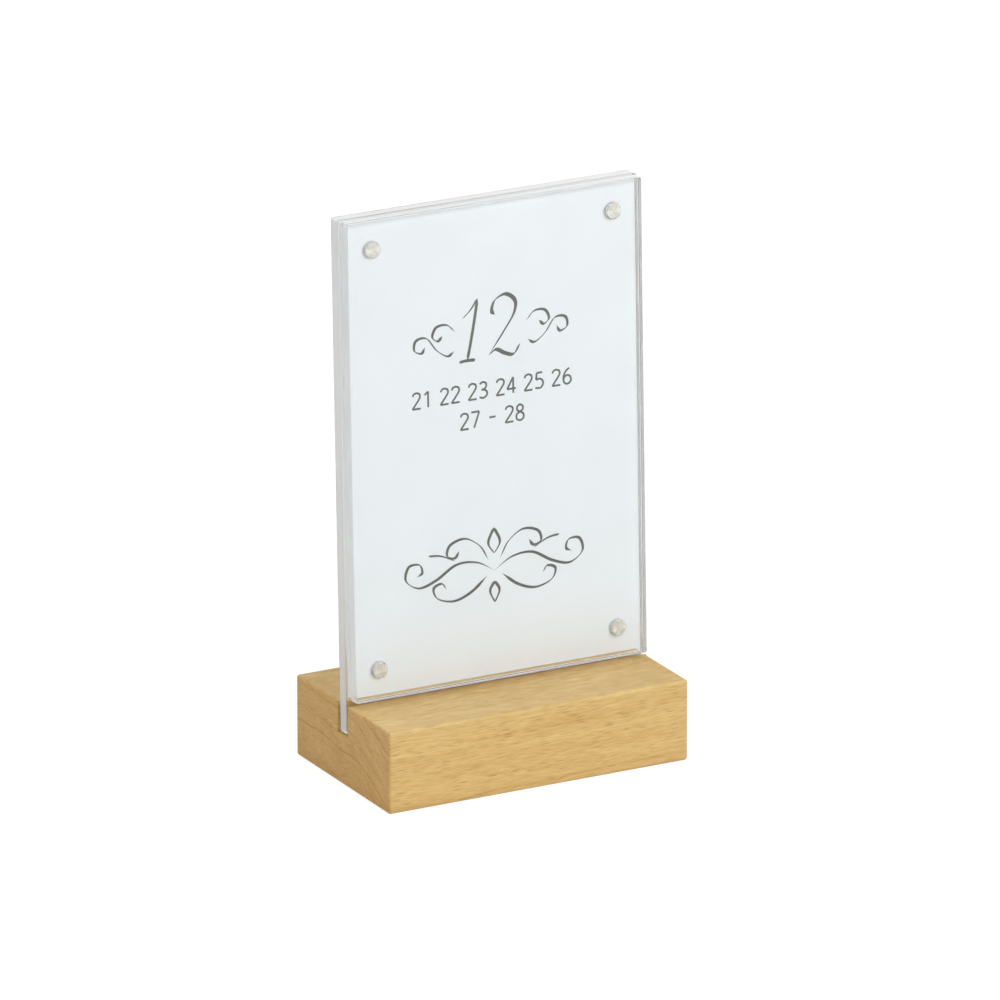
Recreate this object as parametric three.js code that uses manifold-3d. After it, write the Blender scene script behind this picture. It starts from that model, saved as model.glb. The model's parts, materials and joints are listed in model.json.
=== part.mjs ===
// Card display stand: an oak block with a sawn slot, a clear rear panel standing in the slot,
// and a thinner clear front panel that holds a card against it with four pairs of magnets.
// Millimetres, +Z up, front towards -Y. The origin is the middle of the block's underside.
import * as THREE from "three";
import { RoundedBoxGeometry } from "three/addons/geometries/RoundedBoxGeometry.js";
import { mergeVertices } from "three/addons/utils/BufferGeometryUtils.js";
import Module from "manifold-3d";

// Card: the format that the stand is made for
const CARD_WIDTH = 100;
const CARD_HEIGHT = 150;
const CARD_THICKNESS = 0.35;
const CARD_CLEARANCE = 0.15; // to the panel in front and to the one behind
const CARD_SHIFT = -0.9; // pushed in a little to the left of the panels' middle

// Clear panels
const REAR_PANEL_THICKNESS = 5;
const FRONT_PANEL_THICKNESS = 4;
const FRONT_PANEL_SIDE_MARGIN = 0.3; // beside a card in the middle
const REAR_PANEL_SIDE_MARGIN = 1.1; // beside a card in the middle
const PANEL_LOWER_MARGIN = 1.1; // front panel below the card
const PANEL_UPPER_MARGIN = 0.4; // both panels above the card
const PANEL_CORNER_RADIUS = 0.8;
const PANEL_CHAMFER = 0.4; // broken edge
const PANEL_LEAN = THREE.MathUtils.degToRad(1.8); // backwards

// Oak base
const BASE_DEPTH = 61.1;
const BASE_HEIGHT = 26.1;
const BASE_END_MARGIN = 0.45; // beyond the rear panel at each end
const BASE_EDGE_RADIUS = 1;
const SLOT_DEPTH = 10;
const SLOT_SIDE_CLEARANCE = 0.6; // to the panel's foot, where the lean brings it nearest
const SLOT_FLOOR_CLEARANCE = 0.2;
const FRONT_PANEL_LIFT = 1.35; // from the slot's mouth up to the front panel's lower edge

// Magnets, and the milled holes that hold them
const MAGNET_DIAMETER = 5;
const MAGNET_THICKNESS = 2;
const MAGNET_CHAMFER = 0.25;
const MAGNET_INSET = 9.1; // from the front panel's sides and lower edge to the magnet's axis
const MAGNET_TOP_INSET = 9.8; // from the panels' upper edges
const MAGNET_SIDE_CLEARANCE = 0.4; // filled with glue
const MAGNET_END_CLEARANCE = 0.15; // below the inner face, and above the hole's floor

// Fineness of the round faces
const EDGE_STEPS = 2;
const CORNER_STEPS = 4;
const ROUND_STEPS = 32;
const CUT_OVERSHOOT = 1; // how far a cut runs out into the open

// Sizes that follow from those above
const frontPanelWidth = CARD_WIDTH + 2 * FRONT_PANEL_SIDE_MARGIN;
const rearPanelWidth = CARD_WIDTH + 2 * REAR_PANEL_SIDE_MARGIN;
const frontPanelHeight = CARD_HEIGHT + PANEL_LOWER_MARGIN + PANEL_UPPER_MARGIN;
const footLength = (SLOT_DEPTH - SLOT_FLOOR_CLEARANCE) / Math.cos(PANEL_LEAN);
const frontPanelFoot = footLength + FRONT_PANEL_LIFT;
const panelTop = frontPanelFoot + frontPanelHeight;
const baseLength = rearPanelWidth + 2 * BASE_END_MARGIN;

// The slot is as wide as the leaning foot needs between its lower front and upper rear edges.
const footDrift = footLength * Math.sin(PANEL_LEAN);
const slotWidth =
  REAR_PANEL_THICKNESS * Math.cos(PANEL_LEAN) + footDrift + 2 * SLOT_SIDE_CLEARANCE;
const slotFloor = BASE_HEIGHT - SLOT_DEPTH;

// In the panels' own frame y = 0 is the middle of the rear panel, and z = 0 is its foot.
const rearInnerFace = -REAR_PANEL_THICKNESS / 2;
const cardMiddle = rearInnerFace - CARD_CLEARANCE - CARD_THICKNESS / 2;
const frontInnerFace = cardMiddle - CARD_THICKNESS / 2 - CARD_CLEARANCE;

const holeRadius = MAGNET_DIAMETER / 2 + MAGNET_SIDE_CLEARANCE;
const holeDepth = MAGNET_THICKNESS + 2 * MAGNET_END_CLEARANCE;
const magnetPlaces = [
  { side: "top_left", x: -1, z: panelTop - MAGNET_TOP_INSET },
  { side: "top_right", x: 1, z: panelTop - MAGNET_TOP_INSET },
  { side: "bottom_left", x: -1, z: frontPanelFoot + MAGNET_INSET },
  { side: "bottom_right", x: 1, z: frontPanelFoot + MAGNET_INSET },
].map(({ side, x, z }) => ({ side, x: x * (frontPanelWidth / 2 - MAGNET_INSET), z }));

const oak = new THREE.MeshStandardMaterial({ color: 0xd9b277, roughness: 0.55, metalness: 0 });
const acrylic = new THREE.MeshStandardMaterial({
  color: 0xf2f6f6,
  roughness: 0.05,
  metalness: 0,
  transparent: true,
  opacity: 0.25,
});
const whiteCard = new THREE.MeshStandardMaterial({ color: 0xeef1f0, roughness: 0.85, metalness: 0 });
const nickel = new THREE.MeshStandardMaterial({ color: 0xc9cabf, roughness: 0.25, metalness: 1 });

const wasm = await Module();
wasm.setup();

/** A closed three.js geometry as a solid that can be cut. */
function solid(geometry) {
  const bare = geometry.clone();
  bare.deleteAttribute("normal");
  bare.deleteAttribute("uv");
  const merged = mergeVertices(bare);
  return new wasm.Manifold(
    new wasm.Mesh({
      numProp: 3,
      vertProperties: new Float32Array(merged.attributes.position.array),
      triVerts: new Uint32Array(merged.index.array),
    }),
  );
}

/** A solid as a three.js geometry. */
function geometryOf(made) {
  const { vertProperties, triVerts } = made.getMesh();
  const geometry = new THREE.BufferGeometry();
  geometry.setAttribute("position", new THREE.BufferAttribute(vertProperties, 3));
  geometry.setIndex(new THREE.BufferAttribute(triVerts, 1));
  geometry.computeVertexNormals();
  return geometry;
}

function named(name, geometry, material) {
  const mesh = new THREE.Mesh(geometry, material);
  mesh.name = name;
  return mesh;
}

/** The block with its eased edges, and the slot sawn along its whole length. */
function oakBase() {
  const block = new RoundedBoxGeometry(
    baseLength,
    BASE_DEPTH,
    BASE_HEIGHT,
    EDGE_STEPS,
    BASE_EDGE_RADIUS,
  ).translate(0, 0, BASE_HEIGHT / 2);
  const cutHeight = SLOT_DEPTH + CUT_OVERSHOOT;
  const saw = new THREE.BoxGeometry(
    baseLength + 2 * CUT_OVERSHOOT,
    slotWidth,
    cutHeight,
  ).translate(0, 0, slotFloor + cutHeight / 2);
  return named("oak_base", geometryOf(solid(block).subtract(solid(saw))), oak);
}

/** An upright rectangle with round corners, from z = 0 up, across the middle of x. */
function panelOutline(width, height) {
  const half = width / 2;
  const r = PANEL_CORNER_RADIUS;
  return new THREE.Shape()
    .moveTo(r - half, 0)
    .lineTo(half - r, 0)
    .absarc(half - r, r, r, -Math.PI / 2, 0)
    .lineTo(half, height - r)
    .absarc(half - r, height - r, r, 0, Math.PI / 2)
    .lineTo(r - half, height)
    .absarc(r - half, height - r, r, Math.PI / 2, Math.PI)
    .lineTo(-half, r)
    .absarc(r - half, r, r, Math.PI, Math.PI * 1.5);
}

/** A sheet with broken edges: its rear face lies in y = 0 and its front face towards -y. */
function sheet(width, height, thickness) {
  return new THREE.ExtrudeGeometry(panelOutline(width, height), {
    depth: thickness - 2 * PANEL_CHAMFER,
    bevelThickness: PANEL_CHAMFER,
    bevelSize: PANEL_CHAMFER,
    bevelOffset: -PANEL_CHAMFER,
    bevelSegments: 1,
    curveSegments: CORNER_STEPS,
  })
    .rotateX(Math.PI / 2)
    .translate(0, -PANEL_CHAMFER, 0);
}

/** A sheet with the four flat holes milled into its inner face, which is at y = innerFace. */
function milledPanel(name, blank, innerFace, millTowards) {
  let panel = solid(blank);
  const cutDepth = holeDepth + CUT_OVERSHOOT;
  for (const { x, z } of magnetPlaces) {
    const hole = new THREE.CylinderGeometry(holeRadius, holeRadius, cutDepth, ROUND_STEPS);
    const middle = innerFace + millTowards * (holeDepth - cutDepth / 2);
    panel = panel.subtract(solid(hole.translate(x, middle, z)));
  }
  return named(name, geometryOf(panel), acrylic);
}

/** A disc magnet round the y axis, with eased rims. */
function magnetDisc() {
  const r = MAGNET_DIAMETER / 2;
  const h = MAGNET_THICKNESS / 2;
  const profile = [
    new THREE.Vector2(0, -h),
    new THREE.Vector2(r - MAGNET_CHAMFER, -h),
    new THREE.Vector2(r, MAGNET_CHAMFER - h),
    new THREE.Vector2(r, h - MAGNET_CHAMFER),
    new THREE.Vector2(r - MAGNET_CHAMFER, h),
    new THREE.Vector2(0, h),
  ];
  return new THREE.LatheGeometry(profile, ROUND_STEPS);
}

/** The four magnets of one panel, just below its inner face. */
function magnets(panelName, innerFace, millTowards) {
  const toMiddle = MAGNET_END_CLEARANCE + MAGNET_THICKNESS / 2;
  return magnetPlaces.map(({ side, x, z }) => {
    const magnet = named(`${panelName}_magnet_${side}`, magnetDisc(), nickel);
    magnet.position.set(x, innerFace + millTowards * toMiddle, z);
    return magnet;
  });
}

/** The printed card, standing between the panels. */
function card() {
  const mesh = named(
    "card",
    new THREE.BoxGeometry(CARD_WIDTH, CARD_THICKNESS, CARD_HEIGHT),
    whiteCard,
  );
  mesh.position.set(CARD_SHIFT, cardMiddle, frontPanelFoot + PANEL_LOWER_MARGIN + CARD_HEIGHT / 2);
  return mesh;
}

const rearBlank = sheet(rearPanelWidth, panelTop, REAR_PANEL_THICKNESS).translate(
  0,
  -rearInnerFace,
  0,
);
const frontBlank = sheet(frontPanelWidth, frontPanelHeight, FRONT_PANEL_THICKNESS).translate(
  0,
  frontInnerFace,
  frontPanelFoot,
);

// Everything above the slot leans back together. The foot's lower rear edge is its lowest.
const panels = new THREE.Group();
panels.rotation.x = -PANEL_LEAN;
panels.position.set(
  0,
  -footDrift / 2,
  slotFloor + SLOT_FLOOR_CLEARANCE + (REAR_PANEL_THICKNESS / 2) * Math.sin(PANEL_LEAN),
);
panels.add(
  milledPanel("rear_panel", rearBlank, rearInnerFace, 1),
  ...magnets("rear", rearInnerFace, 1),
  card(),
  milledPanel("front_panel", frontBlank, frontInnerFace, -1),
  ...magnets("front", frontInnerFace, -1),
);

const stand = new THREE.Group();
stand.add(oakBase(), panels);
export default stand;
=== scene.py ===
"""Card display stand: an oak block, two clear panels joined by magnets, and a printed card between them.

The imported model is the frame. Sizes and places that it fixes are read from its solids, and the pieces
made here are the same things with the surfaces of the real ones. Metres, +Z up, front towards -Y.
"""
import json
import math
from dataclasses import dataclass, field

import bpy
import mathutils
import numpy as np
from bpy.props import FloatProperty, FloatVectorProperty, PointerProperty
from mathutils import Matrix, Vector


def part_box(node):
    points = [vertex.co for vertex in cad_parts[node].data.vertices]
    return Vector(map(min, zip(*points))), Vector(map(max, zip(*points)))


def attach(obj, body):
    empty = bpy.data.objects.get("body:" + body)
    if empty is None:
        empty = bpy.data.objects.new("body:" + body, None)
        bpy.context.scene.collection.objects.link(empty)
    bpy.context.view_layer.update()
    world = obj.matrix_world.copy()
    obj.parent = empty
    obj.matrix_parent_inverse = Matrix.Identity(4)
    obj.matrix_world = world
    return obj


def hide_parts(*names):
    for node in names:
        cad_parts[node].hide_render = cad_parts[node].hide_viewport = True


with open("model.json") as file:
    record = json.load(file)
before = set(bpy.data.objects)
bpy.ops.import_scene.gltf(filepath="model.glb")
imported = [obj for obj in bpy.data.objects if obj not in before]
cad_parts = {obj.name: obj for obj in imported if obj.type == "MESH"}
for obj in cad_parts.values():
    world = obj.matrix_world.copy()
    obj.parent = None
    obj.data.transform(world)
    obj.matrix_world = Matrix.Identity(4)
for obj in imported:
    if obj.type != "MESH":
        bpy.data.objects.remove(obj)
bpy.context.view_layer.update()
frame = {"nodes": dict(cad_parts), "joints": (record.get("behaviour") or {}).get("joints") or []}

bl_info = {
    "name": "Card display stand",
    "version": (1, 0, 0),
    "blender": (4, 5, 0),
    "location": "3D View > Sidebar > Card stand",
    "description": "Dresses the packed card display stand: oak, clear acrylic, card and nickel",
    "category": "Object",
}

MM = 0.001
WELD = 1e-6  # points nearer than this become one
ROUND_STEPS = 8  # steps along a quarter round
HOLE_STEPS = 64  # points round a milled hole, an even number
MAGNET_STEPS = 64


# What the frame fixes

def node_points(node):
    """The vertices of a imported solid, one row each."""
    mesh = frame["nodes"][node].data
    flat = np.empty(3 * len(mesh.vertices))
    mesh.vertices.foreach_get("co", flat)
    return flat.reshape(-1, 3)


def joint_axis(name):
    """The direction in which a joint of the frame moves its body."""
    axis = next(joint["axis"] for joint in frame["joints"] if joint["name"] == name)
    return np.array(axis, float) / np.linalg.norm(axis)


# The panels lean back, so they have axes of their own: across, towards the back, and up.
PANEL_AXES = np.array([[1.0, 0.0, 0.0], -joint_axis("front_pull"), joint_axis("panel_lift")])
ROW_AXES = np.eye(3)


def panel_points(node):
    """A solid's vertices as (across, back, up) in the panels' leaning axes."""
    return node_points(node) @ PANEL_AXES.T


def panel_reach(node):
    """The lowest and highest (across, back, up) of a solid."""
    points = panel_points(node)
    return points.min(axis=0), points.max(axis=0)


# Meshes: patches of surface, joined into one closed skin

@dataclass
class Patch:
    """Part of a skin: its points with their outward normals, and its faces as runs of point numbers."""

    points: np.ndarray
    normals: np.ndarray
    corners: np.ndarray  # the point numbers of all faces, one after the other
    counts: np.ndarray  # how many corners each face has
    marks: dict = field(default_factory=dict)  # named values, one for each point


def grid(points, normals, closed=False, **marks):
    """A surface over two parameters: each point is joined to its neighbours in the grid by quads.

    closed joins the last column to the first.
    """
    rows, columns = points.shape[:2]
    number = np.arange(rows * columns).reshape(rows, columns)
    if closed:
        number = np.column_stack([number, number[:, 0]])
    quads = np.stack([number[:-1, :-1], number[:-1, 1:], number[1:, 1:], number[1:, :-1]], axis=-1)
    flat_marks = {name: np.broadcast_to(mark, points.shape[:2]).ravel() for name, mark in marks.items()}
    return Patch(
        points.reshape(-1, 3),
        normals.reshape(-1, 3),
        quads.ravel(),
        np.full(quads.size // 4, 4),
        flat_marks,
    )


def plate(points, normal, loops=None, **marks):
    """A flat surface: one polygon through all points in turn, or one for each loop of point numbers."""
    loops = [np.arange(len(points))] if loops is None else loops
    flat_marks = {name: np.broadcast_to(mark, len(points)) for name, mark in marks.items()}
    return Patch(
        points,
        np.tile(normal, (len(points), 1)),
        np.concatenate(loops),
        np.array([len(loop) for loop in loops]),
        flat_marks,
    )


def wound_outward(patch):
    """The patch's corners and counts, all turned round if its middle face runs against its normals."""
    middle = len(patch.counts) // 2
    first = patch.counts[:middle].sum()
    ring = patch.corners[first:first + patch.counts[middle]]
    points = patch.points[ring]
    area = np.cross(points, np.roll(points, -1, axis=0)).sum(axis=0)
    if area @ patch.normals[ring].sum(axis=0) > 0:
        return patch.corners, patch.counts
    return patch.corners[::-1], patch.counts[::-1]


def make_piece(name, patches, material, axes=ROW_AXES):
    """Joins patches into one closed mesh object at the origin, with its place in its mesh.

    Points that coincide are welded. Each face corner keeps the normal of its own patch, so the skin is
    smooth where patches meet with one normal, and crisp where they meet at an angle.
    """
    starts = np.cumsum([0] + [len(patch.points) for patch in patches[:-1]])
    wound = [wound_outward(patch) for patch in patches]
    points = np.concatenate([patch.points for patch in patches])
    normals = np.concatenate([patch.normals for patch in patches])
    corners = np.concatenate([start + corner for start, (corner, _) in zip(starts, wound)])
    counts = np.concatenate([count for _, count in wound])

    keys = np.round(points / WELD).astype(np.int64)
    _, kept, welded = np.unique(keys, axis=0, return_index=True, return_inverse=True)

    mesh = bpy.data.meshes.new(name)
    mesh.vertices.add(len(kept))
    mesh.vertices.foreach_set("co", (points[kept] @ axes).ravel())
    mesh.loops.add(len(corners))
    mesh.loops.foreach_set("vertex_index", welded.ravel()[corners])
    mesh.polygons.add(len(counts))
    mesh.polygons.foreach_set("loop_start", np.cumsum(counts) - counts)
    mesh.materials.append(material)
    mesh.update(calc_edges=True)
    if mesh.validate():
        raise RuntimeError(f"the mesh of {name} has faulty faces")
    mesh.shade_smooth()
    mesh.normals_split_custom_set((normals[corners] @ axes).tolist())

    for mark in sorted({mark for patch in patches for mark in patch.marks}):
        values = np.concatenate([patch.marks.get(mark, np.zeros(len(patch.points))) for patch in patches])
        mesh.attributes.new(mark, "FLOAT", "CORNER").data.foreach_set("value", values[corners])

    piece = bpy.data.objects.new(name, mesh)
    bpy.context.scene.collection.objects.link(piece)
    return piece


def arc(centre, radius, start, stop):
    """Points and outward normals along a circle's arc, between two angles in degrees."""
    angle = np.radians(np.linspace(start, stop, ROUND_STEPS + 1))
    outward = np.column_stack([np.cos(angle), np.sin(angle)])
    return np.array(centre) + radius * outward, outward


def carried(outline, outward, ease, low, high):
    """A closed outline carried along a straight line from low to high, with its ends rounded over.

    At an angle t, from 0 at the side to 90 degrees at an end, the outline is drawn in along its normals
    by ease x (1 - cos t) and lies ease x (1 - sin t) short of that end. ease is one radius for each
    point. Gives the points and normals of all rings; the third coordinate runs along the line.
    """
    swing = np.linspace(0, np.pi / 2, ROUND_STEPS + 1)
    turn = np.concatenate([-swing[::-1], swing])[:, None]
    side = np.repeat([-1.0, 1.0], ROUND_STEPS + 1)[:, None]
    end = np.where(side < 0, low, high)
    along = end - side * ease + ease * np.sin(turn)
    inset = ease * (1 - np.cos(turn))
    points = np.concatenate([outline - inset[..., None] * outward, along[..., None]], axis=-1)
    swung = np.cos(turn)[..., None] * outward
    lengthwise = np.broadcast_to(np.sin(turn)[..., None], swung.shape[:2] + (1,))
    normals = np.concatenate([swung, lengthwise], axis=-1)
    return points, normals


def revolved(profile, facing, centre, steps):
    """A profile of (radius, back) turned about an axis that runs along back through centre.

    facing holds the profile's normals, also as (radius, back). At an angle a, a profile point (r, b)
    becomes (r cos a, b, r sin a).
    """
    angle = np.arange(steps) * 2 * np.pi / steps
    round_axis = np.stack([np.cos(angle), np.zeros(steps), np.sin(angle)], axis=-1)
    along = np.array([0.0, 1.0, 0.0])
    points = np.array(centre) + profile[:, :1, None] * round_axis + profile[:, 1:, None] * along
    normals = facing[:, :1, None] * round_axis + facing[:, 1:, None] * along
    return points, normals


# Materials

def linear(hex_colour):
    """The linear RGBA of an sRGB hex colour such as "d8b074"."""
    srgb = np.array([int(hex_colour[i:i + 2], 16) for i in (0, 2, 4)]) / 255
    values = np.where(srgb <= 0.04045, srgb / 12.92, ((srgb + 0.055) / 1.055) ** 2.4)
    return (*values.tolist(), 1.0)


def add(tree, kind, inputs=None, **settings):
    """Adds a shader node: settings are its properties, and inputs its sockets, each a value or an output."""
    node = tree.nodes.new("ShaderNode" + kind)
    for name, value in settings.items():
        setattr(node, name, value)
    for name, value in (inputs or {}).items():
        if isinstance(value, bpy.types.NodeSocket):
            tree.links.new(value, node.inputs[name])
        else:
            node.inputs[name].default_value = value
    return node


def start_material(name):
    """An empty material, its node tree and its Principled shader."""
    material = bpy.data.materials.new(name)
    material.use_nodes = True
    tree = material.node_tree
    tree.nodes.clear()
    shader = add(tree, "BsdfPrincipled")
    add(tree, "OutputMaterial", {"Surface": shader.outputs["BSDF"]})
    return material, tree, shader


def oak_material(colours):
    """Oak, planed, sanded and oiled.

    The rings are cylinders about a pith below the block, so the front shows long fine lines, the top the
    broad figure of a flat-sawn board, and the ends shallow arcs. Each ring begins with a row of open
    vessels, which show as short dark dashes along the grain. Oil leaves a satin sheen.
    """
    material, tree, shader = start_material("sanded_oiled_oak")
    place = add(tree, "TexCoord").outputs["Object"]

    # Millimetres along the grain (x) and across it from the pith (y, z)
    grain = add(tree, "Mapping", {
        "Vector": place,
        "Location": (0, -10, 93),
        "Rotation": (0, math.radians(-1.8), math.radians(5.3)),
        "Scale": (1000, 1000, 1000),
    }).outputs["Vector"]

    # The rings wander by a few millimetres over lengths of 90 mm along the grain and 30 mm across it.
    wander_place = add(tree, "VectorMath", {0: grain, 1: (1 / 90, 1 / 30, 1 / 30)},
                       operation="MULTIPLY").outputs[0]
    wander = add(tree, "TexNoise", {"Vector": wander_place, "Scale": 1.0, "Detail": 1.0})
    centred = add(tree, "VectorMath", {0: wander.outputs["Color"], 1: (0.5, 0.5, 0.5)},
                  operation="SUBTRACT").outputs[0]
    bent = add(tree, "VectorMath", {0: centred, 1: (0, 8, 8), 2: grain},
               operation="MULTIPLY_ADD").outputs[0]

    # Layers of growth: along the grain, across it, and outwards from the pith
    cross = add(tree, "VectorMath", {0: bent, 1: (0, 1, 1)}, operation="MULTIPLY").outputs[0]
    radius = add(tree, "VectorMath", {0: cross}, operation="LENGTH").outputs["Value"]
    parts = add(tree, "SeparateXYZ", {"Vector": bent}).outputs
    layers = add(tree, "CombineXYZ", {"X": parts["X"], "Y": parts["Y"], "Z": radius}).outputs[0]

    # Rings 2.4 mm apart, some stronger than others; each begins dark and fades within half a year.
    years = add(tree, "Math", {0: radius, 1: 2.4}, operation="DIVIDE").outputs[0]
    phase = add(tree, "Math", {0: years}, operation="FRACT").outputs[0]
    year = add(tree, "Math", {0: years}, operation="FLOOR").outputs[0]
    strength = add(tree, "TexWhiteNoise", {"W": year}, noise_dimensions="1D").outputs["Value"]
    strength = add(tree, "Math", {0: strength, 1: 2.0}, operation="POWER").outputs[0]
    early = add(tree, "MapRange",
                {"Value": phase, "From Min": 0.0, "From Max": 0.5, "To Min": 1.0, "To Max": 0.0},
                interpolation_type="SMOOTHSTEP").outputs["Result"]
    ring = add(tree, "Math", {0: early, 1: strength}, operation="MULTIPLY").outputs[0]

    # Vessels 0.4 mm wide, cut as dashes about 5 mm long
    vessel_place = add(tree, "VectorMath", {0: layers, 1: (1 / 5.5, 1 / 1.2, 1 / 0.4)},
                       operation="MULTIPLY").outputs[0]
    vessel = add(tree, "TexVoronoi", {"Vector": vessel_place, "Scale": 1.0})
    dash = add(tree, "MapRange",
               {"Value": vessel.outputs["Distance"], "From Min": 0.1, "From Max": 0.45,
                "To Min": 1.0, "To Max": 0.0}).outputs["Result"]
    open_cell = add(tree, "Math", {0: dash, 1: vessel.outputs["Color"]}, operation="MULTIPLY").outputs[0]
    chance = add(tree, "Math", {0: ring, 1: 0.8, 2: 0.7}, operation="MULTIPLY_ADD").outputs[0]
    cut = add(tree, "Math", {0: open_cell, 1: chance}, operation="MULTIPLY").outputs[0]
    # The top is planed along the layers and so opens fewer vessels.
    flat = add(tree, "Attribute", attribute_name="flat_sawn").outputs["Fac"]
    kept = add(tree, "Math", {0: flat, 1: -0.65, 2: 1.0}, operation="MULTIPLY_ADD").outputs[0]
    pores = add(tree, "Math", {0: cut, 1: kept}, operation="MULTIPLY").outputs[0]

    # Fibres 0.4 mm wide, and streaks of tone 3 mm wide that run nearly the length of the block
    fibre_place = add(tree, "VectorMath", {0: layers, 1: (1 / 6, 1 / 3, 1 / 0.38)},
                      operation="MULTIPLY").outputs[0]
    fibre = add(tree, "TexNoise", {"Vector": fibre_place, "Scale": 1.0, "Detail": 3.0, "Roughness": 0.6})
    streak_place = add(tree, "VectorMath", {0: layers, 1: (1 / 80, 1 / 9, 1 / 3)},
                       operation="MULTIPLY").outputs[0]
    streak = add(tree, "TexNoise", {"Vector": streak_place, "Scale": 1.0, "Detail": 2.0})

    tone = add(tree, "Math", {0: streak.outputs["Fac"], 1: 0.5, 2: fibre.outputs["Fac"]},
               operation="MULTIPLY_ADD").outputs[0]
    tone = add(tree, "MapRange",
               {"Value": tone, "From Min": 0.45, "From Max": 1.05}).outputs["Result"]
    # The rings show most where they are sawn across.
    end_grain = add(tree, "Attribute", attribute_name="end_grain").outputs["Fac"]
    contrast = add(tree, "Math", {0: end_grain, 1: 0.4, 2: 0.3}, operation="MULTIPLY_ADD").outputs[0]
    tone = add(tree, "Math", {0: ring, 1: contrast, 2: tone}, operation="MULTIPLY_ADD").outputs[0]
    wood = add(tree, "Mix", {0: tone, 6: (*colours.oak_light, 1), 7: (*colours.oak_dark, 1)},
               data_type="RGBA").outputs[2]
    wood = add(tree, "Mix", {0: pores, 6: wood, 7: (*colours.oak_pore, 1)},
               data_type="RGBA").outputs[2]

    # Sawn across, the fibres drink more oil: the ends are darker.
    darker = add(tree, "Mix", {0: 1.0, 6: wood, 7: (*colours.oak_end, 1)},
                 data_type="RGBA", blend_type="MULTIPLY").outputs[2]
    wood = add(tree, "Mix", {0: end_grain, 6: wood, 7: darker}, data_type="RGBA").outputs[2]

    rough = add(tree, "Math", {0: pores, 1: 0.25, 2: 0.5}, operation="MULTIPLY_ADD").outputs[0]
    height = add(tree, "Math", {0: pores, 1: -1.0, 2: fibre.outputs["Fac"]},
                 operation="MULTIPLY_ADD").outputs[0]
    relief = add(tree, "Bump", {"Height": height, "Strength": 0.2, "Distance": 0.1 * MM})
    tree.links.new(wood, shader.inputs["Base Color"])
    tree.links.new(rough, shader.inputs["Roughness"])
    tree.links.new(relief.outputs["Normal"], shader.inputs["Normal"])
    shader.inputs["Specular IOR Level"].default_value = 0.5
    return material


def acrylic_material(colours):
    """Cast acrylic sheet: clear, with a hard gloss on its faces.

    Its edges are milled, and their fine marks scatter the light, which makes them whitish, the top and
    bottom more than the sides. Clear glue fills the holes round the magnets and bends light as the acrylic
    does, so the holes don't show.
    """
    material, tree, shader = start_material("clear_cast_acrylic")
    # Straight through 5 mm it takes 1 in 130 of the light, and along the sheet a seventh in 100 mm.
    inside = add(tree, "VolumeAbsorption", {"Color": (0.5, 0.52, 0.5, 1), "Density": 3.0})
    tree.links.new(inside.outputs["Volume"], tree.get_output_node("ALL").inputs["Volume"])

    place = add(tree, "TexCoord").outputs["Object"]
    side = add(tree, "Attribute", attribute_name="side").outputs["Fac"]
    end = add(tree, "Attribute", attribute_name="end").outputs["Fac"]
    glued = add(tree, "Attribute", attribute_name="glued").outputs["Fac"]
    scatter = add(tree, "Math", {0: end, 1: 0.8}, operation="MULTIPLY").outputs[0]
    scatter = add(tree, "Math", {0: side, 1: 0.45, 2: scatter}, operation="MULTIPLY_ADD").outputs[0]
    # Along both rims of an edge a strip about 0.5 mm wide is polished by the breaking of the edge.
    through = add(tree, "Attribute", attribute_name="through").outputs["Fac"]
    off_middle = add(tree, "Math", {0: through}, operation="ABSOLUTE").outputs[0]
    milled = add(tree, "MapRange",
                 {"Value": off_middle, "From Min": 0.6, "From Max": 0.8, "To Min": 1.0, "To Max": 0.0},
                 interpolation_type="SMOOTHSTEP").outputs["Result"]
    scatter = add(tree, "Math", {0: scatter, 1: milled}, operation="MULTIPLY").outputs[0]
    clear = add(tree, "Math", {0: 1.0, 1: scatter}, operation="SUBTRACT").outputs[0]
    rough = add(tree, "Math", {0: end, 1: 0.5}, operation="MULTIPLY").outputs[0]
    rough = add(tree, "Math", {0: side, 1: 0.8, 2: rough}, operation="MULTIPLY_ADD").outputs[0]
    present = add(tree, "Math", {0: 1.0, 1: glued}, operation="SUBTRACT").outputs[0]

    # Cutter lines 0.4 mm apart across the thickness, drawn out along the edge
    lines_place = add(tree, "Mapping",
                      {"Vector": place, "Rotation": (math.radians(2), 0, 0), "Scale": (30, 2500, 30)}).outputs[0]
    lines = add(tree, "TexNoise", {"Vector": lines_place, "Scale": 1.0, "Detail": 1.0})
    height = add(tree, "Math", {0: lines.outputs["Fac"], 1: end}, operation="MULTIPLY").outputs[0]
    relief = add(tree, "Bump", {"Height": height, "Strength": 0.15, "Distance": 0.02 * MM})
    tree.links.new(relief.outputs["Normal"], shader.inputs["Normal"])
    tree.links.new(clear, shader.inputs["Transmission Weight"])
    tree.links.new(rough, shader.inputs["Roughness"])
    tree.links.new(present, shader.inputs["Alpha"])
    shader.inputs["Base Color"].default_value = (*colours.acrylic, 1)
    shader.inputs["IOR"].default_value = 1.49
    return material


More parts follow.
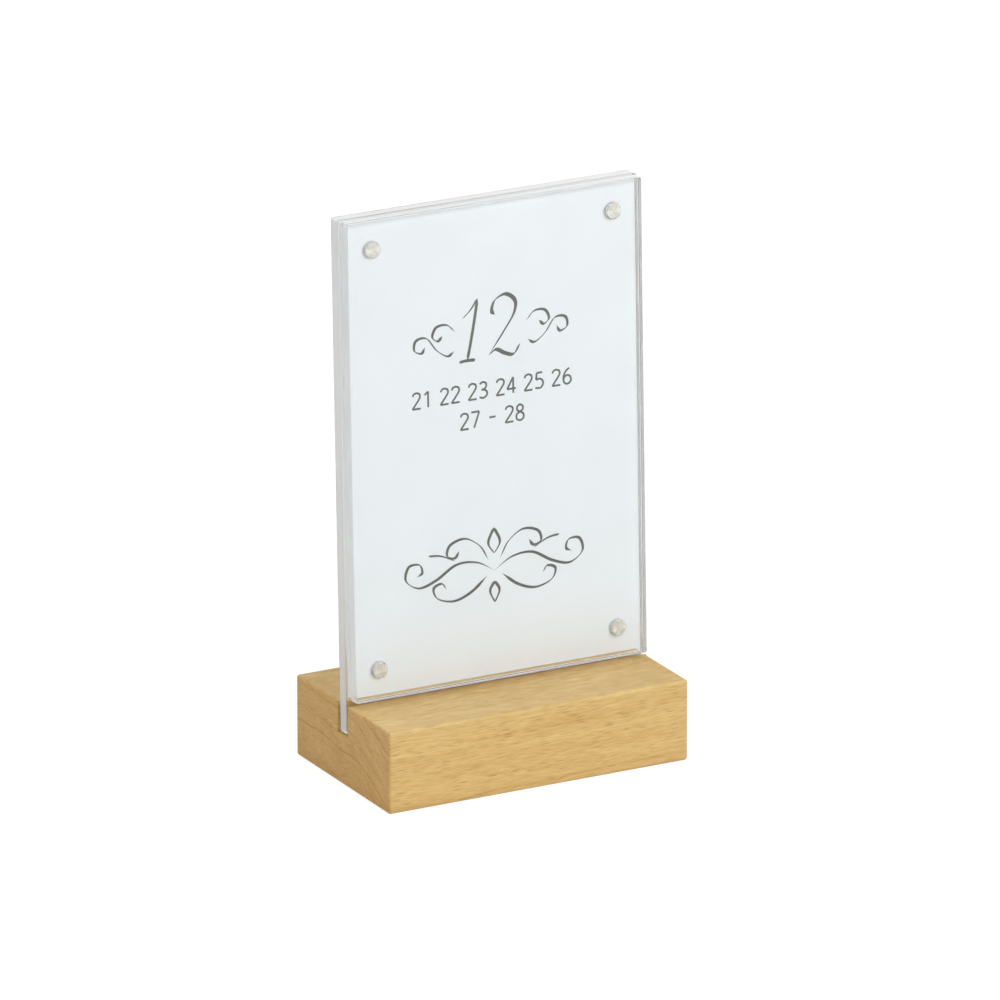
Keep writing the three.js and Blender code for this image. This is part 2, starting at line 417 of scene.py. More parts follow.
def nickel_material(colours):
    """Bright nickel plating on a turned disc: warm grey, with a bright wedge where its rings catch light."""
    material, tree, shader = start_material("nickel_plating")
    radius = add(tree, "Attribute", attribute_name="radius").outputs["Fac"]
    place = add(tree, "TexCoord").outputs["Object"]
    # Turning rings 0.25 mm apart
    turns = add(tree, "Math", {0: radius, 1: 2 * math.pi / (0.25 * MM)}, operation="MULTIPLY").outputs[0]
    rings = add(tree, "Math", {0: turns}, operation="SINE").outputs[0]
    # Plating blush in patches of about 1 mm
    blush = add(tree, "TexNoise", {"Vector": place, "Scale": 1 / MM, "Detail": 2.0}).outputs["Fac"]
    rough = add(tree, "MapRange", {"Value": blush, "To Min": 0.22, "To Max": 0.34}).outputs["Result"]
    relief = add(tree, "Bump", {"Height": rings, "Strength": 0.15, "Distance": 0.01 * MM})
    tree.links.new(rough, shader.inputs["Roughness"])
    tree.links.new(relief.outputs["Normal"], shader.inputs["Normal"])
    tangent = add(tree, "Tangent", direction_type="RADIAL", axis="Y").outputs["Tangent"]
    tree.links.new(tangent, shader.inputs["Tangent"])
    shader.inputs["Anisotropic"].default_value = 0.85
    shader.inputs["Base Color"].default_value = (*colours.nickel, 1)
    shader.inputs["Metallic"].default_value = 1.0
    return material


def card_material(colours):
    """Calendered white card: matt and cool white, with a trace of pressed fibre."""
    material, tree, shader = start_material("calendered_white_card")
    place = add(tree, "TexCoord").outputs["Object"]
    # Fibre flocks about 0.6 mm across, and cloudy density over 20 mm
    flock = add(tree, "TexNoise", {"Vector": place, "Scale": 1 / (0.6 * MM), "Detail": 3.0}).outputs["Fac"]
    cloud = add(tree, "TexNoise", {"Vector": place, "Scale": 1 / (20 * MM), "Detail": 2.0}).outputs["Fac"]
    both = add(tree, "Math", {0: flock, 1: cloud}, operation="ADD").outputs[0]
    share = add(tree, "MapRange", {"Value": both, "From Min": 0.7, "From Max": 1.3}).outputs["Result"]
    paper = add(tree, "Mix", {0: share, 6: (*colours.card_thin, 1), 7: (*colours.card, 1)},
                data_type="RGBA").outputs[2]
    relief = add(tree, "Bump", {"Height": flock, "Strength": 0.1, "Distance": 0.02 * MM})
    tree.links.new(paper, shader.inputs["Base Color"])
    tree.links.new(relief.outputs["Normal"], shader.inputs["Normal"])
    shader.inputs["Roughness"].default_value = 0.8
    shader.inputs["Specular IOR Level"].default_value = 0.3
    return material


def ink_material(colours):
    """Offset ink on card: a soft olive black that lies a little thinner where the fibres stand proud."""
    material, tree, shader = start_material("offset_printing_ink")
    place = add(tree, "TexCoord").outputs["Object"]
    speck = add(tree, "TexNoise", {"Vector": place, "Scale": 1 / (0.3 * MM), "Detail": 2.0}).outputs["Fac"]
    share = add(tree, "MapRange", {"Value": speck, "From Min": 0.35, "From Max": 0.75}).outputs["Result"]
    ink = add(tree, "Mix", {0: share, 6: (*colours.ink, 1), 7: (*colours.ink_thin, 1)},
              data_type="RGBA").outputs[2]
    tree.links.new(ink, shader.inputs["Base Color"])
    shader.inputs["Roughness"].default_value = 0.6
    return material


# Sizes and colours that a user may change

class CardStandSizes(bpy.types.PropertyGroup):
    """Fine sizes of the pieces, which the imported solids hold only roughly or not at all."""

    oak_edge: FloatProperty(
        name="Oak edge", description="Radius of the block's long edges", default=1.0 * MM, unit="LENGTH")
    oak_end: FloatProperty(
        name="Oak end edge", description="Radius of the edges round the block's ends",
        default=0.9 * MM, unit="LENGTH")
    slot_lip: FloatProperty(
        name="Slot lip", description="Radius of the sanded lips of the slot", default=0.3 * MM, unit="LENGTH")
    slot_lip_end: FloatProperty(
        name="Slot lip end", description="Radius of the slot's edges at the block's ends",
        default=0.25 * MM, unit="LENGTH")
    slot_corner: FloatProperty(
        name="Slot corner", description="Radius in the corners of the slot's floor",
        default=0.4 * MM, unit="LENGTH")
    panel_corner: FloatProperty(
        name="Panel corner", description="Radius of the clear panels' corners", default=0.8 * MM, unit="LENGTH")
    panel_edge: FloatProperty(
        name="Panel edge", description="Radius of the panels' broken edges", default=0.5 * MM, unit="LENGTH")
    magnet_rim: FloatProperty(
        name="Magnet rim", description="Radius of the magnets' rims", default=0.25 * MM, unit="LENGTH")
    card_wave: FloatProperty(
        name="Card wave", description="How far the card bows out of flat", default=0.03 * MM, unit="LENGTH")
    ink_height: FloatProperty(
        name="Ink height", description="How far the print stands proud of the card",
        default=0.02 * MM, unit="LENGTH")


class CardStandColours(bpy.types.PropertyGroup):
    """Colours of the materials."""

    oak_light: FloatVectorProperty(
        name="Oak light", description="Oak between the dark streaks", subtype="COLOR",
        default=linear("e4c483")[:3])
    oak_dark: FloatVectorProperty(
        name="Oak dark", description="Oak in the dark streaks", subtype="COLOR", default=linear("c69f5c")[:3])
    oak_pore: FloatVectorProperty(
        name="Oak pores", description="Open vessels of the oak", subtype="COLOR", default=linear("9c6e32")[:3])
    oak_end: FloatVectorProperty(
        name="Oak end grain", description="What the colour is multiplied by on the ends", subtype="COLOR",
        default=linear("f9ecdb")[:3])
    acrylic: FloatVectorProperty(
        name="Acrylic", description="Clear sheet", subtype="COLOR", default=linear("fdfefe")[:3])
    nickel: FloatVectorProperty(
        name="Nickel", description="Plating of the magnets", subtype="COLOR", default=linear("e6e4dc")[:3])
    card: FloatVectorProperty(
        name="Card", description="White card", subtype="COLOR", default=linear("e9edf0")[:3])
    card_thin: FloatVectorProperty(
        name="Card between flocks", description="White card where its fibres lie thinner", subtype="COLOR",
        default=linear("e5e9ec")[:3])
    ink: FloatVectorProperty(
        name="Ink", description="Print where the ink lies thick", subtype="COLOR", default=linear("3e4038")[:3])
    ink_thin: FloatVectorProperty(
        name="Thin ink", description="Print where the ink lies thin", subtype="COLOR",
        default=linear("5c5e54")[:3])
    floor: FloatVectorProperty(
        name="Floor", description="Floor under the stand", subtype="COLOR", default=linear("eaeae8")[:3])


class CardStandStage(bpy.types.PropertyGroup):
    """The camera and the lamps."""

    azimuth: FloatProperty(
        name="Azimuth", description="Camera's turn to the right of the front", default=math.radians(-28.178),
        subtype="ANGLE")
    elevation: FloatProperty(
        name="Elevation", description="Camera's height above the horizon", default=math.radians(18.866),
        subtype="ANGLE")
    distance: FloatProperty(
        name="Distance", description="From the camera to the stand", default=4.017, unit="LENGTH")
    aim_right: FloatProperty(
        name="Aim right", description="How far right of the origin the lens points", default=2.43 * MM,
        unit="LENGTH")
    aim_up: FloatProperty(
        name="Aim up", description="How far above the origin the lens points", default=78.69 * MM, unit="LENGTH")
    lens: FloatProperty(
        name="Lens", description="Focal length in millimetres on a 36 mm sensor", default=472.75)
    lamp_distance: FloatProperty(
        name="Lamp distance", description="From each lamp to the stand", default=1.6, unit="LENGTH")
    lamp_size: FloatProperty(
        name="Lamp size", description="Side of each square lamp", default=1.2, unit="LENGTH")
    key_azimuth: FloatProperty(
        name="Key azimuth", description="Key lamp's turn to the right of the front", default=math.radians(20),
        subtype="ANGLE")
    key_elevation: FloatProperty(
        name="Key elevation", description="Key lamp's height above the horizon", default=math.radians(35),
        subtype="ANGLE")
    key_level: FloatProperty(
        name="Key level", description="Share of full light on a surface that faces the key lamp", default=0.47)
    back_azimuth: FloatProperty(
        name="Back azimuth", description="Back lamp's turn to the right of the front", default=math.radians(190),
        subtype="ANGLE")
    back_elevation: FloatProperty(
        name="Back elevation", description="Back lamp's height above the horizon", default=math.radians(60),
        subtype="ANGLE")
    back_level: FloatProperty(
        name="Back level", description="Share of full light on a surface that faces the back lamp", default=0.16)
    fill_level: FloatProperty(
        name="Fill level", description="Share of full light that comes from all round", default=0.66)


# Pieces

def oak_outline(sizes):
    """The block's end view: (y, z) points, their normals, and how far the ends are rounded at each.

    Eight arcs joined by straight lines, anticlockwise seen from +X: the lower corners, the upper rear
    corner, down one lip into the slot, across its floor and up the other lip, and the upper front corner.
    """
    (_, front, bottom), (_, rear, top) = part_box("oak_base")
    points = node_points("oak_base")
    slot = points[(np.abs(points[:, 1]) < (rear - front) / 4) & (points[:, 2] > (bottom + top) / 2)]
    half, floor = np.abs(slot[:, 1]).max(), slot[:, 2].min()
    edge, lip, corner = sizes.oak_edge, sizes.slot_lip, sizes.slot_corner
    full, fine = sizes.oak_end, sizes.slot_lip_end
    near = half + lip + 2 * full  # the rounding of the ends narrows from here to the slot

    runs = [
        (arc((front + edge, bottom + edge), edge, 180, 270), full),
        (arc((rear - edge, bottom + edge), edge, 270, 360), full),
        (arc((rear - edge, top - edge), edge, 0, 90), full),
        ((np.array([[near, top]]), np.array([[0.0, 1.0]])), full),
        (arc((half + lip, top - lip), lip, 90, 180), fine),
        (arc((half - corner, floor + corner), corner, 0, -90), fine),
        (arc((corner - half, floor + corner), corner, -90, -180), fine),
        (arc((-half - lip, top - lip), lip, 0, 90), fine),
        ((np.array([[-near, top]]), np.array([[0.0, 1.0]])), full),
        (arc((front + edge, top - edge), edge, 90, 180), full),
    ]
    hollow = (5, 6)  # the floor's corners curve inwards, so their normals point to the arc's centre
    outline = np.concatenate([run[0] for run, _ in runs])
    outward = np.concatenate([-run[1] if i in hollow else run[1] for i, (run, _) in enumerate(runs)])
    ease = np.concatenate([np.full(len(run[0]), radius) for run, radius in runs])
    return outline, outward, ease


def panel_outline(low, high, rows, corner):
    """A rectangle with round corners, anticlockwise, with points in its sides at the rows of holes.

    Four quarter arcs, and two points up the right side and two down the left.
    """
    (left, bottom), (right, top) = low, high
    sides = np.array([[right, rows[0]], [right, rows[1]], [left, rows[1]], [left, rows[0]]])
    facing = np.array([[1.0, 0.0], [1.0, 0.0], [-1.0, 0.0], [-1.0, 0.0]])
    runs = [
        arc((right - corner, bottom + corner), corner, -90, 0),
        (sides[:2], facing[:2]),
        arc((right - corner, top - corner), corner, 0, 90),
        arc((left + corner, top - corner), corner, 90, 180),
        (sides[2:], facing[2:]),
        arc((left + corner, bottom + corner), corner, 180, 270),
    ]
    return np.concatenate([run[0] for run in runs]), np.concatenate([run[1] for run in runs])


def face_loops():
    """The inner face in three polygons that part along the two rows of holes.

    Numbers run round the outline first and then round the holes at the lower left, lower right, upper
    left and upper right, each from its right side anticlockwise.
    """
    run = ROUND_STEPS + 1
    right, left = [run, run + 1], [3 * run + 3, 3 * run + 2]  # lower and upper point of each side
    count = 4 * run + 4
    below = np.append(0, np.arange(HOLE_STEPS - 1, HOLE_STEPS // 2 - 1, -1))  # right to left
    above = np.arange(HOLE_STEPS // 2, -1, -1)  # left to right
    lower_left, lower_right, upper_left, upper_right = count + HOLE_STEPS * np.arange(4)
    lower_edge = np.concatenate([np.arange(left[0], count), np.arange(0, right[0] + 1)])
    return [
        np.concatenate([lower_edge, lower_right + below, lower_left + below]),
        np.concatenate([right, upper_right + below, upper_left + below, left[::-1],
                        lower_left + above, lower_right + above]),
        np.concatenate([np.arange(right[1], left[1] + 1), upper_left + above, upper_right + above]),
    ]


HOLE_PLACES = ("bottom_left", "bottom_right", "top_left", "top_right")


def hole_of(panel, magnet):
    """A milled hole's middle, radius, mouth and floor, found among the panel's points round a magnet.

    The mouth is the end that lies nearest to the card.
    """
    low, high = panel_reach(magnet)
    middle = (low + high) / 2
    points = panel_points(panel)
    off_axis = np.hypot(points[:, 0] - middle[0], points[:, 2] - middle[2])
    near = off_axis < high[0] - low[0]
    back = points[near, 1]
    from_card = np.abs(back - np.mean(panel_reach("card"), axis=0)[1])
    return middle, off_axis[near].max(), back[from_card.argmin()], back[from_card.argmax()]


def clear_panel(name, panel, side, sizes, material):
    """A clear sheet: a rounded outline carried through its thickness, with four milled holes.

    side is "front" or "rear". Each hole is a wall turned about the magnet's axis, and a flat floor.
    """
    low, high = panel_reach(panel)
    holes = [hole_of(panel, f"{side}_magnet_{place}") for place in HOLE_PLACES]
    rows = (holes[0][0][2], holes[2][0][2])
    outline, outward = panel_outline(low[[0, 2]], high[[0, 2]], rows, sizes.panel_corner)
    points, normals = carried(outline, outward, np.full(len(outline), sizes.panel_edge), low[1], high[1])
    points, normals = points[..., [0, 2, 1]], normals[..., [0, 2, 1]]
    inner_is_high = abs(holes[0][2] - high[1]) < abs(holes[0][2] - low[1])
    inner, outer = (points[-1], points[0]) if inner_is_high else (points[0], points[-1])
    facing = np.array([0.0, 1.0 if inner_is_high else -1.0, 0.0])

    halfway = (low[1] + high[1]) / 2
    marks = {
        "side": np.abs(normals[..., 0]),
        "end": np.abs(normals[..., 2]),
        "through": (points[..., 1] - halfway) / (high[1] - halfway),  # -1 at the front face, 1 at the rear
    }
    patches = [grid(points, normals, closed=True, **marks), plate(outer, -facing)]
    mouths = []
    for middle, radius, mouth, floor in holes:
        profile = np.array([[radius, mouth], [radius, floor]])
        axis = (middle[0], 0.0, middle[2])
        wall, wall_normals = revolved(profile, np.array([[-1.0, 0.0]] * 2), axis, HOLE_STEPS)
        patches.append(grid(wall, wall_normals, closed=True, glued=1.0))
        patches.append(plate(wall[-1], facing, glued=1.0))
        mouths.append(wall[0])
    patches.append(plate(np.concatenate([inner, *mouths]), facing, face_loops()))
    return make_piece(name, patches, material, PANEL_AXES)


def magnet_disc(name, node, sizes, material):
    """A disc with round rims: a profile from the front pole over both rims to the rear pole, revolved.

    Five rings cross each face, so that the turning marks have a radius to follow.
    """
    low, high = panel_reach(node)
    middle, radius = (low + high) / 2, (high[0] - low[0]) / 2
    half, rim = (high[1] - low[1]) / 2, sizes.magnet_rim
    flat = np.linspace(0.03, 0.9, 5)[:, None] * np.array([[radius - rim, 0.0]])
    front_rim, front_facing = arc((radius - rim, rim - half), rim, -90, 0)
    rear_rim, rear_facing = arc((radius - rim, half - rim), rim, 0, 90)
    profile = np.concatenate([flat + [0, -half], front_rim, rear_rim, flat[::-1] + [0, half]])
    ahead = np.tile([0.0, -1.0], (len(flat), 1))
    facing = np.concatenate([ahead, front_facing, rear_facing, -ahead])
    points, normals = revolved(profile, facing, middle, MAGNET_STEPS)
    patches = [
        grid(points, normals, closed=True, radius=profile[:, :1]),
        plate(points[0], (0.0, -1.0, 0.0), radius=profile[0, 0]),
        plate(points[-1], (0.0, 1.0, 0.0), radius=profile[-1, 0]),
    ]
    return make_piece(name, patches, material, PANEL_AXES)


CARD_WAVES = (2.3, 1.7)  # half waves of the card's bow, across and up


def card_bow(across, up, low, high, wave):
    """How far back the card bows at a place: wave x sin(a) x cos(u).

    a and u grow from 0 at the lower left by CARD_WAVES times pi to the opposite corner. Gives the bow and
    its slopes across and up.
    """
    turn_across = CARD_WAVES[0] * np.pi / (high[0] - low[0])
    turn_up = CARD_WAVES[1] * np.pi / (high[2] - low[2])
    a, u = turn_across * (across - low[0]), turn_up * (up - low[2])
    bow = wave * np.sin(a) * np.cos(u)
    return bow, turn_across * wave * np.cos(a) * np.cos(u), -turn_up * wave * np.sin(a) * np.sin(u)


def card_sheet(name, sizes, material):
    """The card: its front and rear faces over (across, up), each bowed alike, and the cut rim between."""
    low, high = panel_reach("card")
    across, up = np.meshgrid(np.linspace(low[0], high[0], 41), np.linspace(low[2], high[2], 61))
    bow, slope_across, slope_up = card_bow(across, up, low, high, sizes.card_wave)
    front = np.stack([across, low[1] + bow, up], axis=-1)
    rear = np.stack([across, high[1] + bow, up], axis=-1)
    facing = np.stack([slope_across, -np.ones_like(bow), slope_up], axis=-1)
    facing /= np.linalg.norm(facing, axis=-1, keepdims=True)
    patches = [grid(front, facing), grid(rear, -facing)]
    for cut, normal in (
        (np.s_[0], (0, 0, -1)), (np.s_[-1], (0, 0, 1)), (np.s_[:, 0], (-1, 0, 0)), (np.s_[:, -1], (1, 0, 0)),
    ):
        rim = np.stack([front[cut], rear[cut]])
        patches.append(grid(rim, np.broadcast_to(np.array(normal, float), rim.shape)))
    return make_piece(name, patches, material, PANEL_AXES)


# The print: pen strokes in millimetres, from the middle of the card's width and its lower edge

NIB_ANGLE = 40.0  # degrees
NUMERAL_HEIGHT = 5.0
NUMERAL_STEP = 0.76  # from one numeral to the next, in heights
NUMERAL_SPACE = 0.4

# Plain numerals 1 high, as lines drawn through points
NUMERALS = {
    "1": [[(0.1, 0.8), (0.34, 1)], [(0.34, 1), (0.34, 0)]],
    "2": [[(0.04, 0.8), (0.12, 0.94), (0.3, 1), (0.5, 0.92), (0.54, 0.72), (0.4, 0.48), (0.02, 0)],
          [(0.02, 0), (0.58, 0)]],
    "3": [[(0.04, 0.9), (0.24, 1), (0.46, 0.92), (0.48, 0.7), (0.36, 0.56), (0.16, 0.53)],
          [(0.16, 0.53), (0.42, 0.48), (0.54, 0.32), (0.5, 0.12), (0.28, 0), (0.02, 0.07)]],
    "4": [[(0.42, 1), (0, 0.28)], [(0, 0.28), (0.6, 0.28)], [(0.42, 1), (0.42, 0)]],
    "5": [[(0.5, 1), (0.12, 1)], [(0.12, 1), (0.08, 0.57)],
          [(0.08, 0.57), (0.3, 0.62), (0.52, 0.48), (0.54, 0.22), (0.36, 0.03), (0.02, 0.06)]],
    "6": [[(0.44, 1), (0.2, 0.8), (0.05, 0.48), (0.06, 0.18), (0.2, 0.02), (0.4, 0.02), (0.55, 0.18),
           (0.52, 0.42), (0.34, 0.55), (0.14, 0.48), (0.04, 0.3)]],
    "7": [[(0.02, 1), (0.56, 1)], [(0.56, 1), (0.2, 0)]],
    "8": [[(0.28, 0.54), (0.1, 0.66), (0.09, 0.87), (0.28, 1), (0.47, 0.87), (0.46, 0.66), (0.28, 0.54),
           (0.06, 0.4), (0.05, 0.13), (0.28, 0), (0.51, 0.13), (0.5, 0.4), (0.28, 0.54)]],
    "-": [[(0.08, 0.5), (0.52, 0.5)]],
}


def through(points, samples=24):
    """A smooth line through points: a Catmull-Rom spline, with its end points repeated."""
    knots = np.array(points, float)
    knots = np.concatenate([2 * knots[:1] - knots[1:2], knots, 2 * knots[-1:] - knots[-2:-1]])
    t = np.linspace(0, 1, samples, endpoint=False)[:, None, None]
    before, start, stop, after = knots[:-3], knots[1:-2], knots[2:-1], knots[3:]
    spans = (start + t * (stop - before) / 2
             + t ** 2 * (before - 2.5 * start + 2 * stop - after / 2)
             + t ** 3 * (1.5 * (start - stop) + (after - before) / 2))
    return np.concatenate([spans.transpose(1, 0, 2).reshape(-1, 2), knots[-2:-1]])


def pen_width(path, thin, thick):
    """Half the width of a broad nib's stroke: thin along the nib's angle, thick across it, fine at its ends."""
    heading = np.arctan2(*np.gradient(path, axis=0).T[::-1])
    half = thin + (thick - thin) * np.abs(np.sin(heading - np.radians(NIB_ANGLE)))
    share = np.linspace(0, 1, len(path))
    taper = np.clip(np.minimum(share, 1 - share) / 0.08, 0.12, 1)
    return half * taper / 2


def numeral_line(numbers, foot):
    """The lines of a row of numerals, centred, whose feet stand at a height."""
    steps = [NUMERAL_SPACE if sign == " " else NUMERAL_STEP for sign in numbers]
    starts = np.cumsum([0] + steps[:-1]) - (sum(steps) - NUMERAL_STEP + 0.56) / 2
    return [through(line) * NUMERAL_HEIGHT + [left * NUMERAL_HEIGHT, foot]
            for sign, left in zip(numbers, starts) for line in NUMERALS.get(sign, [])]


def print_strokes():
    """All strokes of the print as pairs of a line and its half widths, in millimetres.

    A table number between flourishes, two rows of plain numbers, and a mirrored ornament of scrolls.
    """
    strokes = []
    for digit in (
        [(-9.6, 114.2), (-7.0, 116.4), (-4.4, 119.8)],
        [(-4.4, 119.8), (-5.6, 113.0), (-7.0, 106.0), (-8.2, 100.8)],
        [(-11.0, 100.6), (-8.2, 100.8), (-5.4, 100.6)],
        [(1.4, 113.8), (0.4, 115.4), (1.6, 118.4), (5.2, 119.8), (8.4, 117.4), (8.0, 113.4), (4.6, 108.4),
         (-0.8, 101.4)],
        [(-0.8, 101.4), (1.8, 102.8), (4.8, 101.2), (7.8, 100.6), (10.0, 103.6)],
    ):
        path = through(digit)
        strokes.append((path, pen_width(path, 0.3, 1.35)))

    for foot, numbers in ((88.2, "21 22 23 24 25 26"), (79.2, "27 - 28")):
        strokes += [(path, np.full(len(path), 0.31)) for path in numeral_line(numbers, foot)]

    # Right halves of the flourishes beside the number and of the ornament; the left ones mirror them.
    for half in (
        [(12.6, 104.4), (15.0, 103.2), (18.6, 105.6), (22.0, 109.8), (25.6, 109.6), (26.2, 106.6), (23.8, 105.4),
         (22.6, 107.2)],
        [(12.2, 110.4), (15.0, 113.0), (18.6, 112.8), (20.0, 110.0), (18.2, 108.4), (16.6, 109.8)],
        [(0.0, 33.0), (6.0, 36.4), (13.0, 36.8), (20.0, 33.0), (26.0, 31.4), (30.4, 34.4), (29.4, 38.6),
         (25.8, 38.8), (24.8, 36.2), (26.6, 35.0)],
        [(2.6, 31.6), (8.0, 27.4), (14.0, 25.4), (19.6, 27.0), (21.0, 30.4), (18.2, 31.6), (16.6, 29.6)],
        [(2.0, 36.6), (5.0, 41.6), (10.0, 44.6), (15.0, 43.4), (16.2, 40.2), (13.6, 39.0), (12.0, 41.0)],
        [(0.0, 38.4), (2.0, 42.0), (0.0, 46.6)],
        [(0.0, 29.6), (1.6, 26.6), (0.0, 22.8)],
        [(13.6, 38.2), (18.4, 40.4), (22.6, 41.0)],
    ):
        path = through(half)
        width = pen_width(path, 0.28, 0.95)
        strokes += [(path, width), (path * [-1, 1], width)]
    return strokes


def ribbon(path, half, card_front, ink_height):
    """Patches of one stroke: a flat ribbon round its line, ink_height thick, standing on the card's face.

    Its sides lie half a width off the line, square to it.
    """
    ahead = np.gradient(path, axis=0)
    ahead /= np.linalg.norm(ahead, axis=1, keepdims=True)
    aside = np.column_stack([-ahead[:, 1], ahead[:, 0]])
    edges = [path + side * half[:, None] * aside for side in (-1, 1)]
    foot = [np.insert(edge, 1, card_front(edge), axis=1) for edge in edges]
    top = [points - [0, ink_height, 0] for points in foot]
    spread = np.insert(aside, 1, 0.0, axis=1)
    forward = np.insert(ahead, 1, 0.0, axis=1)
    strips = [
        (top[0], top[1], np.broadcast_to([0.0, -1.0, 0.0], spread.shape)),
        (foot[0], foot[1], np.broadcast_to([0.0, 1.0, 0.0], spread.shape)),
        (top[0], foot[0], -spread),
        (top[1], foot[1], spread),
    ]
    patches = [grid(np.stack([a, b]), np.stack([normal, normal])) for a, b, normal in strips]
    for end, facing in ((0, -forward[0]), (-1, forward[-1])):
        patches.append(plate(np.array([top[0][end], top[1][end], foot[1][end], foot[0][end]]), facing))
    return patches


def card_print(name, sizes, material):
    """The print as thin ribbons of ink on the card's front face."""
    low, high = panel_reach("card")
    origin = np.array([(low[0] + high[0]) / 2, low[2]])

    def card_front(places):
        return low[1] + card_bow(places[:, 0], places[:, 1], low, high, sizes.card_wave)[0]

    patches = []
    for path, half in print_strokes():
        patches += ribbon(origin + path * MM, half * MM, card_front, sizes.ink_height)
    return make_piece(name, patches, material, PANEL_AXES)


# Operators

class CARDSTAND_OT_oak_block(bpy.types.Operator):
    """Makes the oak block with its eased edges and its slot"""

    bl_idname = "card_stand.oak_block"
    bl_label = "Oak block"

    def execute(self, context):
        sizes = context.scene.card_stand_sizes
        outline, outward, ease = oak_outline(sizes)
        low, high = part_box("oak_base")
        points, normals = carried(outline, outward, ease, low.x, high.x)
        points, normals = points[..., [2, 0, 1]], normals[..., [2, 0, 1]]
        patches = [
            grid(points, normals, closed=True, end_grain=np.abs(normals[..., 0]),
                 flat_sawn=np.abs(normals[..., 2])),
            plate(points[0], (-1.0, 0.0, 0.0), end_grain=1.0),
            plate(points[-1], (1.0, 0.0, 0.0), end_grain=1.0),
        ]
        block = make_piece("oak_block", patches, oak_material(context.scene.card_stand_colours))
        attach(block, "base")
        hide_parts("oak_base")
        return {"FINISHED"}


class CARDSTAND_OT_clear_panels(bpy.types.Operator):
    """Makes the rear and front clear panels with their milled holes"""

    bl_idname = "card_stand.clear_panels"
    bl_label = "Clear panels"

    def execute(self, context):
        material = acrylic_material(context.scene.card_stand_colours)
        for side in ("rear", "front"):
            node = f"{side}_panel"
            panel = clear_panel(f"{side}_clear_sheet", node, side, context.scene.card_stand_sizes, material)
            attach(panel, side)
            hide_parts(node)
        return {"FINISHED"}


class CARDSTAND_OT_magnets(bpy.types.Operator):
    """Makes the eight magnets in the panels' holes"""

    bl_idname = "card_stand.magnets"
    bl_label = "Magnets"

    def execute(self, context):
        material = nickel_material(context.scene.card_stand_colours)
        for side in ("rear", "front"):
            for place in HOLE_PLACES:
                node = f"{side}_magnet_{place}"
                disc = magnet_disc(f"{side}_disc_{place}", node, context.scene.card_stand_sizes, material)
                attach(disc, side)
                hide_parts(node)
        return {"FINISHED"}


class CARDSTAND_OT_card(bpy.types.Operator):
    """Makes the card and its print"""

    bl_idname = "card_stand.card"
    bl_label = "Card and print"

    def execute(self, context):
        sizes, colours = context.scene.card_stand_sizes, context.scene.card_stand_colours
        sheet = card_sheet("card_sheet", sizes, card_material(colours))
        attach(sheet, "sign")
        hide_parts("card")
        ink = card_print("card_print", sizes, ink_material(colours))
        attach(ink, "sign")
        return {"FINISHED"}


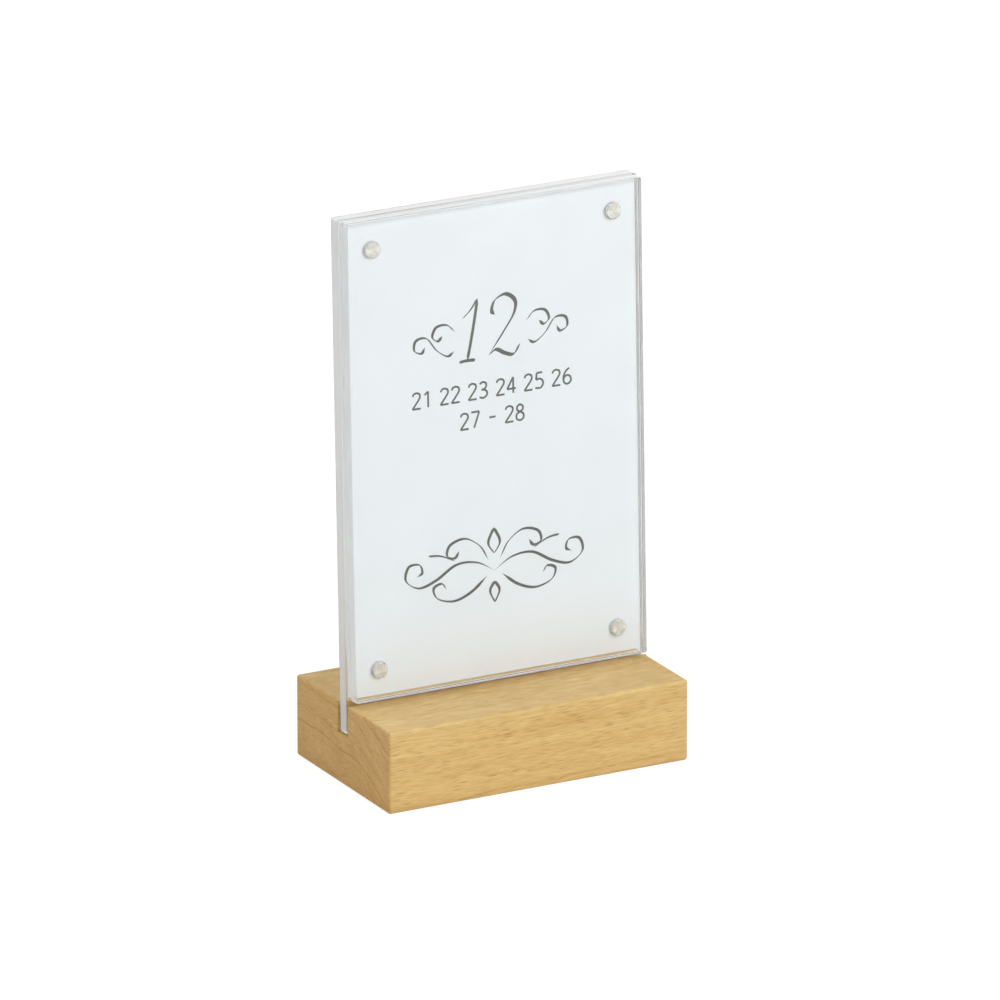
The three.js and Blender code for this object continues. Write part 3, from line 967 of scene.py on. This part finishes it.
class CARDSTAND_OT_stage(bpy.types.Operator):
    """Makes the white floor, the soft light and the camera"""

    bl_idname = "card_stand.stage"
    bl_label = "Stage"

    def execute(self, context):
        scene, stage = context.scene, context.scene.card_stand_stage
        self.make_floor(scene)
        self.make_world(scene, stage)
        self.make_lamp(scene, "key", stage.key_azimuth, stage.key_elevation, stage.key_level)
        self.make_lamp(scene, "back", stage.back_azimuth, stage.back_elevation, stage.back_level)
        self.make_camera(scene, stage)
        scene.view_settings.view_transform = "Standard"
        # Light runs up inside a clear panel by many inner reflections before it leaves at an edge.
        scene.cycles.max_bounces = 40
        scene.cycles.glossy_bounces = 32
        scene.cycles.transmission_bounces = 32
        scene.cycles.blur_glossy = 0  # keeps the light that reaches the card through a panel
        return {"FINISHED"}

    def make_floor(self, scene):
        """A wide level square that the camera sees white, with the stand's shadow, and the rest light grey."""
        half = 6.0
        corners = np.array([[-half, -half, 0.0], [half, -half, 0.0], [half, half, 0.0], [-half, half, 0.0]])
        material = bpy.data.materials.new("matt_white_floor")
        material.use_nodes = True
        tree = material.node_tree
        tree.nodes.clear()
        plain = add(tree, "BsdfDiffuse", {"Color": (*scene.card_stand_colours.floor, 1)})
        # The glow and a share of the light that falls there: past white in the open, less in the shadow
        shaded = add(tree, "BsdfDiffuse", {"Color": (0.24, 0.24, 0.24, 1)})
        glow = add(tree, "Emission", {"Color": (1, 1, 1, 1), "Strength": 0.86})
        white = add(tree, "AddShader", {0: shaded.outputs[0], 1: glow.outputs[0]})
        straight = add(tree, "LightPath").outputs["Is Camera Ray"]
        mixed = add(tree, "MixShader", {0: straight, 1: plain.outputs[0], 2: white.outputs[0]})
        add(tree, "OutputMaterial", {"Surface": mixed.outputs[0]})
        floor = make_piece("floor", [plate(corners, (0.0, 0.0, 1.0))], material)

    def make_world(self, scene, stage):
        """Even light from all round; what the camera sees straight is plain white."""
        world = bpy.data.worlds.new("soft_white_room")
        world.use_nodes = True
        tree = world.node_tree
        tree.nodes.clear()
        straight = add(tree, "LightPath").outputs["Is Camera Ray"]
        level = add(tree, "Math", {0: straight, 1: 1 - stage.fill_level, 2: stage.fill_level},
                    operation="MULTIPLY_ADD").outputs[0]
        light = add(tree, "Background", {"Color": (1, 1, 1, 1), "Strength": level})
        add(tree, "OutputWorld", {"Surface": light.outputs[0]})
        scene.world = world

    def make_lamp(self, scene, name, azimuth, elevation, level):
        """A large square lamp whose power follows from its level: level x (pi x distance) squared."""
        stage = scene.card_stand_stage
        light = bpy.data.lights.new(name, "AREA")
        light.size = stage.lamp_size
        light.energy = level * (math.pi * stage.lamp_distance) ** 2
        lamp = bpy.data.objects.new(name, light)
        lamp.rotation_euler = (math.pi / 2 - elevation, 0, azimuth)
        lamp.location = lamp.rotation_euler.to_matrix() @ mathutils.Vector((0, 0, stage.lamp_distance))
        scene.collection.objects.link(lamp)

    def make_camera(self, scene, stage):
        """A long lens that looks down on the stand from the front left."""
        lens = bpy.data.cameras.new("camera")
        lens.sensor_width = 36
        lens.lens = stage.lens
        lens.clip_end = 20
        camera = bpy.data.objects.new("camera", lens)
        camera.rotation_euler = (math.pi / 2 - stage.elevation, 0, stage.azimuth)
        offset = mathutils.Vector((stage.aim_right, stage.aim_up, stage.distance))
        camera.location = camera.rotation_euler.to_matrix() @ offset
        scene.collection.objects.link(camera)
        scene.camera = camera


class CARDSTAND_PT_pieces(bpy.types.Panel):
    """Lists the stand's pieces, its sizes and its colours"""

    bl_idname = "CARDSTAND_PT_pieces"
    bl_label = "Card stand"
    bl_space_type = "VIEW_3D"
    bl_region_type = "UI"
    bl_category = "Card stand"

    def draw(self, context):
        for operator in OPERATORS:
            self.layout.operator(operator.bl_idname)
        for group_name in GROUPS:
            group = getattr(context.scene, group_name)
            column = self.layout.column(align=True)
            for setting in group.__annotations__:
                column.prop(group, setting)


OPERATORS = (
    CARDSTAND_OT_stage,
    CARDSTAND_OT_oak_block,
    CARDSTAND_OT_clear_panels,
    CARDSTAND_OT_magnets,
    CARDSTAND_OT_card,
)
GROUPS = {
    "card_stand_sizes": CardStandSizes,
    "card_stand_colours": CardStandColours,
    "card_stand_stage": CardStandStage,
}


def register():
    for made in (*GROUPS.values(), *OPERATORS, CARDSTAND_PT_pieces):
        bpy.utils.register_class(made)
    for name, group in GROUPS.items():
        setattr(bpy.types.Scene, name, PointerProperty(type=group))


def unregister():
    for name in GROUPS:
        delattr(bpy.types.Scene, name)
    for made in (CARDSTAND_PT_pieces, *OPERATORS[::-1], *reversed(GROUPS.values())):
        bpy.utils.unregister_class(made)


def main():
    """Makes all pieces and the stage."""
    register()
    bpy.ops.card_stand.stage()
    bpy.ops.card_stand.oak_block()
    bpy.ops.card_stand.clear_panels()
    bpy.ops.card_stand.magnets()
    bpy.ops.card_stand.card()


if __name__ == "__main__":
    main()
